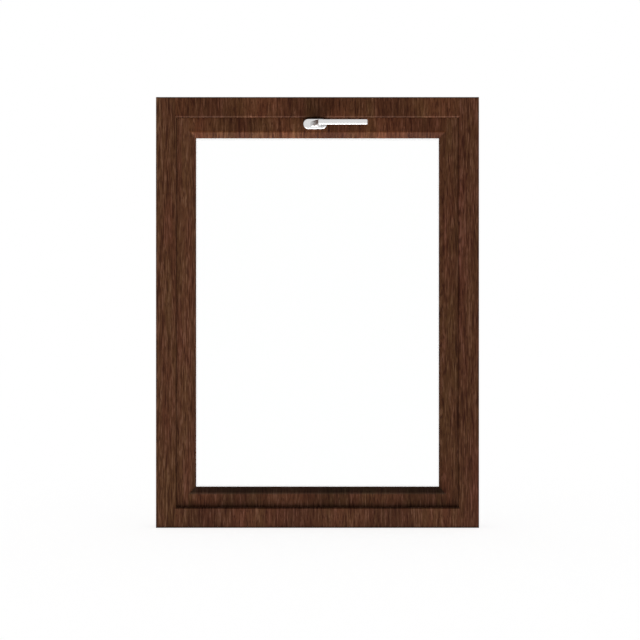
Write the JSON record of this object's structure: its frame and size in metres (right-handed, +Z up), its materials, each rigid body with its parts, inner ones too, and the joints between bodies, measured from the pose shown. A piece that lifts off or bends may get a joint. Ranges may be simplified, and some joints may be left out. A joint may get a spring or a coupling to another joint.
{
  "type": "bottom-hung window",
  "caption": "Closed bottom-hung window: dark stained timber frame and sash, double glazing held by splayed beads, and a silver turning handle on the top rail.",
  "frame": {"origin": "middle of the frame's underside, half way through the frame's depth", "axes": "+Z up along the jambs, +X to the right seen from the room, +Y from the room to the outside"},
  "size_m": [0.9, 0.145, 1.2],
  "materials": {
    "stained_wood": "dark brown satin stain over an upright grain",
    "black_rubber": "matt",
    "bronze_aluminium": "dark bronze anodised",
    "dark_plastic": "moulded matt",
    "steel": "zinc plated",
    "clear_glass": "clear float",
    "spacer_aluminium": "mill",
    "handle_silver": "satin silver"
  },
  "bodies": {
    "window": {"jamb_left": "stained_wood", "jamb_right": "stained_wood", "frame_head": "stained_wood", "frame_sill": "stained_wood", "weather_seal": "black_rubber", "weather_bar": "bronze_aluminium", "weather_bar_cap_left": "dark_plastic", "weather_bar_cap_right": "dark_plastic", "pivot_left": "steel", "pivot_right": "steel", "sash_stile_left": "stained_wood", "sash_stile_right": "stained_wood", "sash_top_rail": "stained_wood", "sash_bottom_rail": "stained_wood", "bead_top": "stained_wood", "bead_bottom": "stained_wood", "bead_left": "stained_wood", "bead_right": "stained_wood", "inner_pane": "clear_glass", "outer_pane": "clear_glass", "spacer_bar": "spacer_aluminium", "edge_seal": "black_rubber", "inner_glazing_gasket": "black_rubber", "outer_glazing_gasket": "black_rubber", "setting_block_left": "dark_plastic", "setting_block_right": "dark_plastic", "handle_rosette": "handle_silver"},
    "handle": {"handle_lever": "handle_silver", "handle_spindle": "steel"}
  },
  "joints": [
    {"name": "handle_turn", "type": "hinge", "parent": "window", "child": "handle", "pos_m": [-0.0065, -0.0335, 1.125], "axis": [0, 1, 0], "range_deg": [0, 90]}
  ]
}
